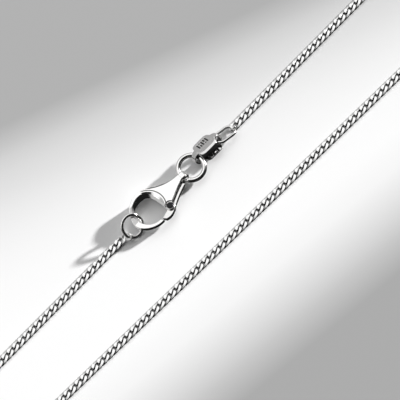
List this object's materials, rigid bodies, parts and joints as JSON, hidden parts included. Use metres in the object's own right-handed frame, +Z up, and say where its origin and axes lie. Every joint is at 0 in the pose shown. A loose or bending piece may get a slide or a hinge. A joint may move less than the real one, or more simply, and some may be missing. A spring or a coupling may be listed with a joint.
{
  "type": "chain necklace",
  "caption": "Fine flat curb chain necklace lying as a long narrow loop, closed by a lobster claw clasp with jump rings and a small two-plate tag.",
  "frame": {"origin": "middle of the loop's box, on the surface the necklace lies on", "axes": "+X along the long loop from the hook ring towards the tag, +Y across it towards the run with the clasp, +Z up"},
  "size_m": [0.2192, 0.0164, 0.0028],
  "materials": {
    "silver": "polished",
    "silver_lever": "polished",
    "dark_pin": "satin",
    "silver_chain": "polished"
  },
  "bodies": {
    "necklace": {"claw": "silver", "lever_pin": "dark_pin", "hook_ring": "silver", "eye_ring": "silver", "tag": "silver", "oval_ring": "silver", "chain_left": "silver_chain", "chain_right": "silver_chain"},
    "clasp_lever": {"lever": "silver_lever"}
  },
  "joints": [
    {"name": "lever_hinge", "type": "hinge", "parent": "necklace", "child": "clasp_lever", "pos_m": [-0.00382, 0.00318, 0.0012], "axis": [0, 0, -1], "range_deg": [0, 32], "stiffness_Nm_per_rad": 0.0005, "springref_deg": -20.05}
  ]
}
